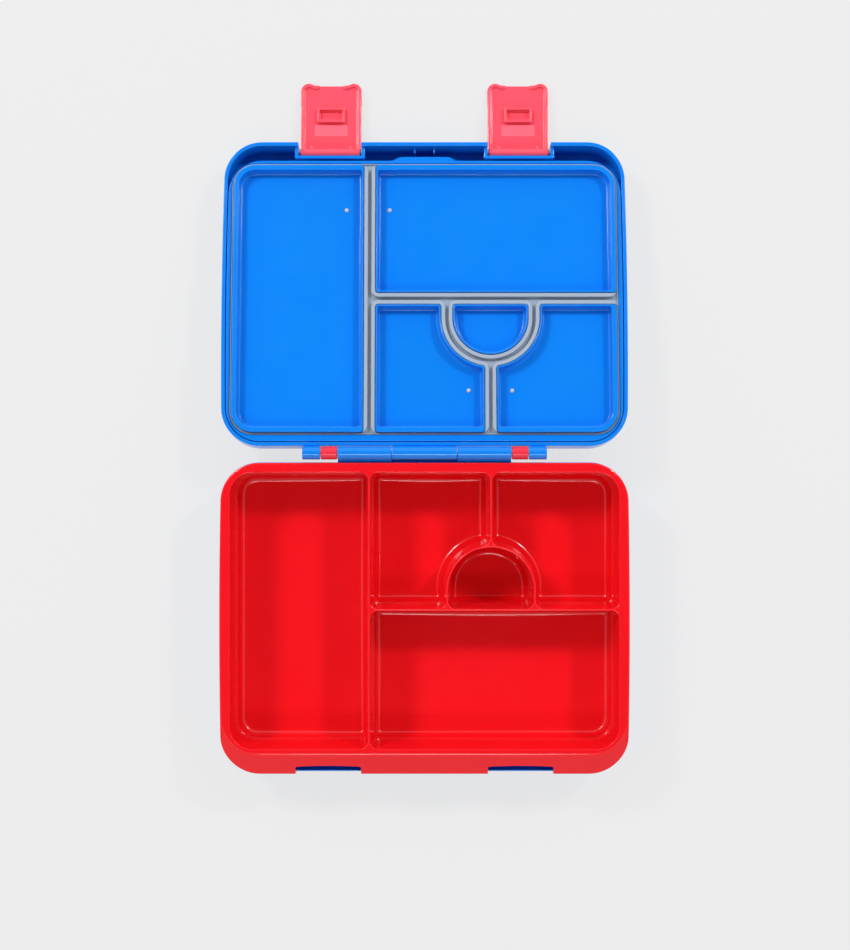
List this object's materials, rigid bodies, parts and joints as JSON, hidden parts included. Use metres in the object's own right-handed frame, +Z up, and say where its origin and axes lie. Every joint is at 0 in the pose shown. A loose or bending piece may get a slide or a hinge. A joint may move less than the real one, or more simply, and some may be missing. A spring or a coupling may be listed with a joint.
{
  "type": "bento lunch box",
  "caption": "Shallow rounded lunch box with a lift-out compartment tray, a hinged lid with a sealing plate that plugs each compartment, and snap latches at the front.",
  "frame": {"origin": "middle of the base's underside, on the table", "axes": "+Z up, +Y from the front of the box towards its hinge and the opened lid, +X to the right seen from the front"},
  "size_m": [0.2164, 0.3714, 0.0415],
  "materials": {
    "blue_plastic": "gloss injection-moulded plastic",
    "red_tray_plastic": "gloss injection-moulded plastic",
    "red_latch_plastic": "satin injection-moulded plastic",
    "grey_silicone": "matte moulded silicone",
    "pale_plastic": "pale moulded plastic",
    "steel": "drawn wire"
  },
  "bodies": {
    "base": {"base_shell": "blue_plastic", "hinge_rod_left": "steel", "hinge_rod_right": "steel", "hinge_collar_left": "red_latch_plastic", "hinge_collar_right": "red_latch_plastic"},
    "tray": {"tray": "red_tray_plastic"},
    "lid": {"lid_shell": "blue_plastic", "latch_pin_left": "steel", "latch_pin_right": "steel"},
    "plate": {"seal_plate": "blue_plastic", "silicone_seal": "grey_silicone", "seal_peg_1": "pale_plastic", "seal_peg_2": "pale_plastic", "seal_peg_3": "pale_plastic", "seal_peg_4": "pale_plastic"},
    "latch_left": {"latch_left": "red_latch_plastic"},
    "latch_right": {"latch_right": "red_latch_plastic"}
  },
  "joints": [
    {"name": "lid_hinge", "type": "hinge", "parent": "base", "child": "lid", "pos_m": [0, 0.0874, 0.038], "axis": [-1, 0, 0], "range_deg": [-186.92, 0]},
    {"name": "latch_left_pivot", "type": "hinge", "parent": "lid", "child": "latch_left", "pos_m": [-0.0508, 0.24917, 0.01344], "axis": [-1, 0, 0], "range_deg": [-90, 0]},
    {"name": "latch_right_pivot", "type": "hinge", "parent": "lid", "child": "latch_right", "pos_m": [0.0508, 0.24917, 0.01344], "axis": [-1, 0, 0], "range_deg": [-90, 0]},
    {"name": "tray_lift", "type": "slide", "parent": "base", "child": "tray", "axis": [0, 0, 1], "range_m": [0, 0.06]},
    {"name": "plate_release", "type": "slide", "parent": "lid", "child": "plate", "axis": [0, 0.1204, 0.9927], "range_m": [0, 0.03]}
  ]
}
